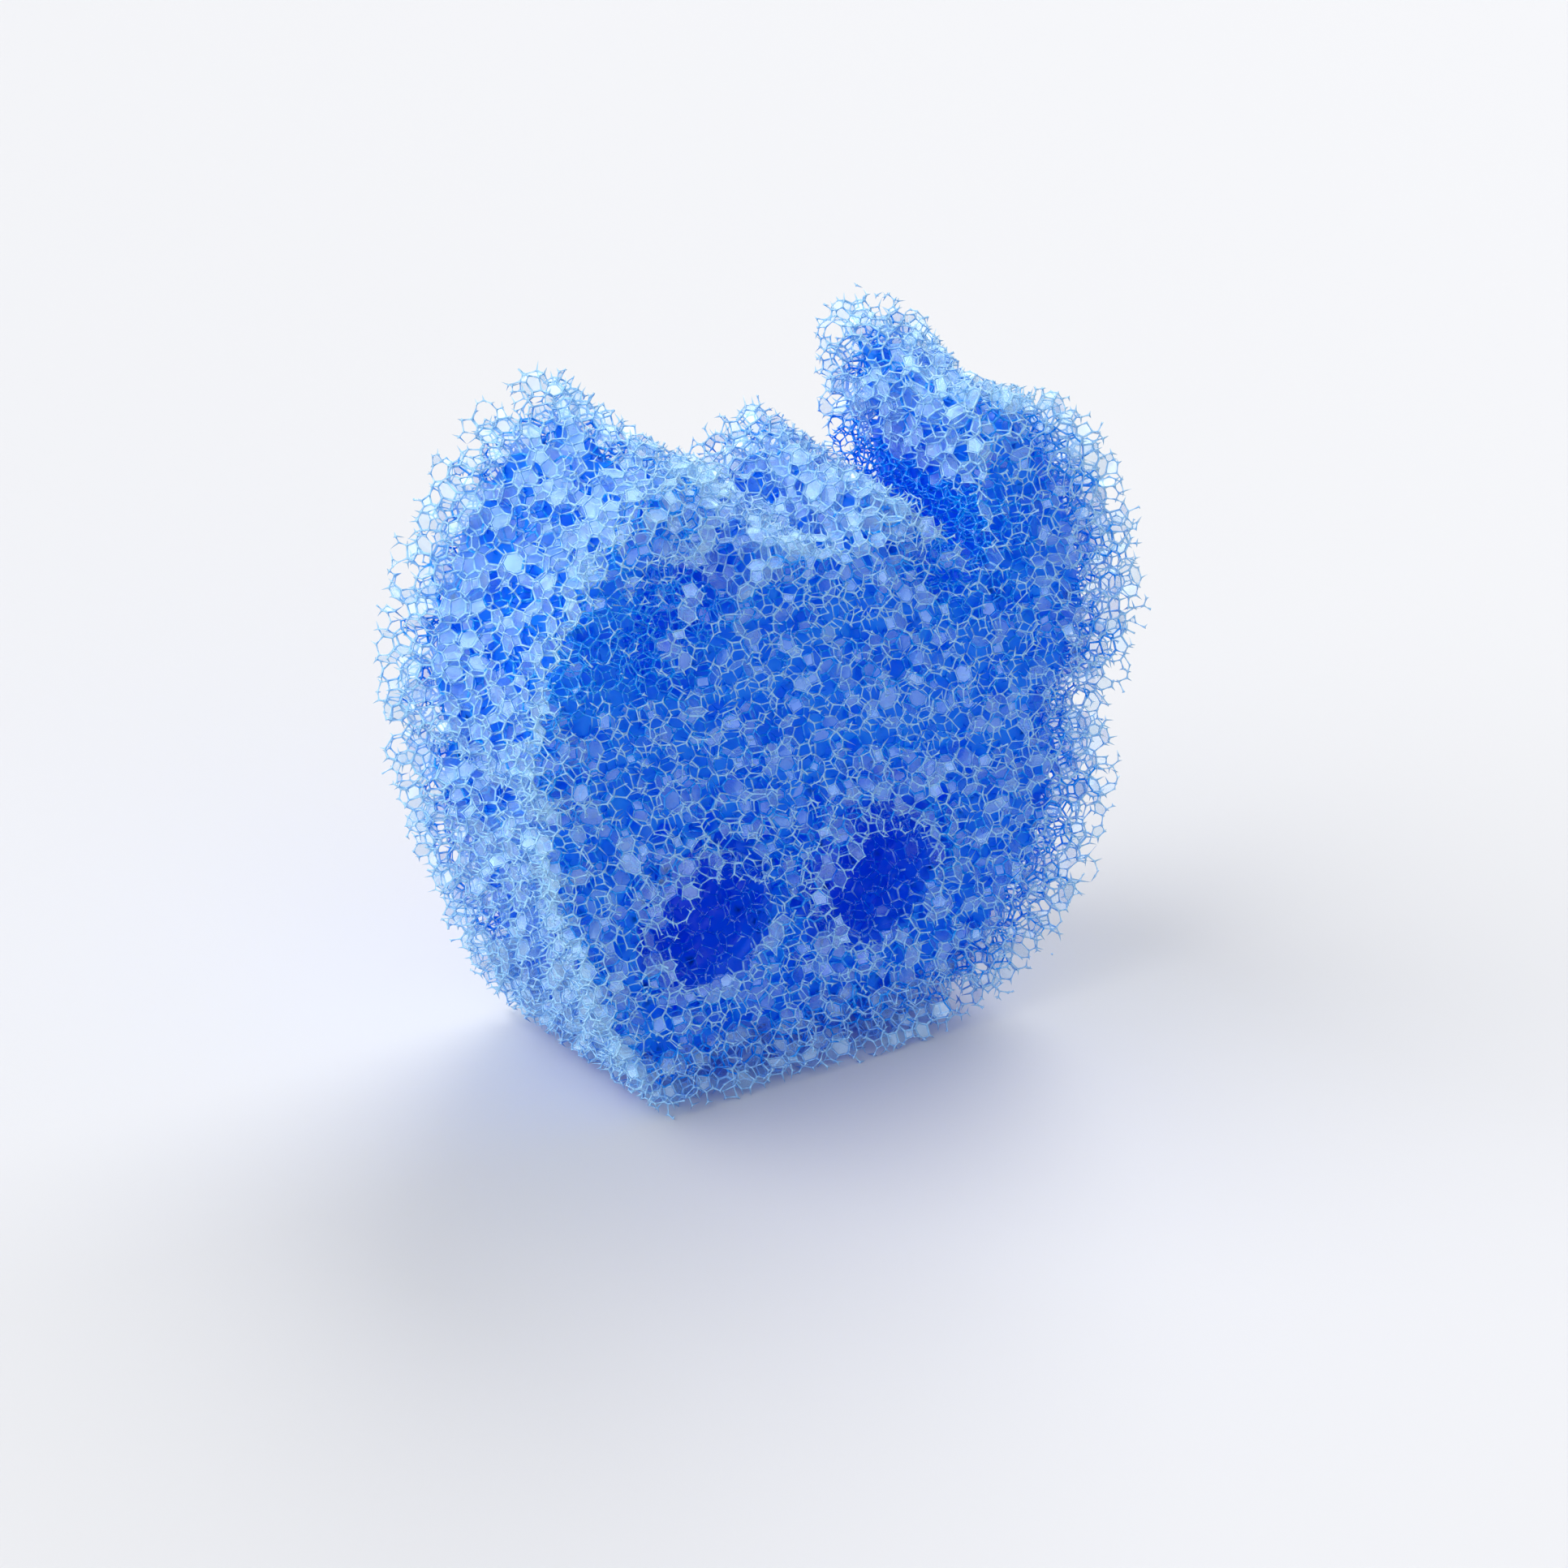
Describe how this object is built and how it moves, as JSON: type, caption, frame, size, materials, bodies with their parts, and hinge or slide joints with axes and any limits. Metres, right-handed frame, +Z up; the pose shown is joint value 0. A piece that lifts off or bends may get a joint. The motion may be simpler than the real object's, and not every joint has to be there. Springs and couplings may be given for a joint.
{
  "type": "cleaning sponge",
  "caption": "Soft open-cell foam cleaning sponge in the outline of a plain animal's head, flat at the foot and pierced by round through holes for eyes.",
  "frame": {"origin": "middle of the bounding box's underside, on the flat foot that the sponge stands on", "axes": "+Z up from the foot to the ears, face looking towards -Y, +X across the face to its right ear as seen from the front"},
  "size_m": [0.11, 0.038, 0.103],
  "materials": {
    "foam": "open-cell foam, translucent struts"
  },
  "bodies": {
    "root": {"sponge_body": "foam"}
  },
  "joints": []
}
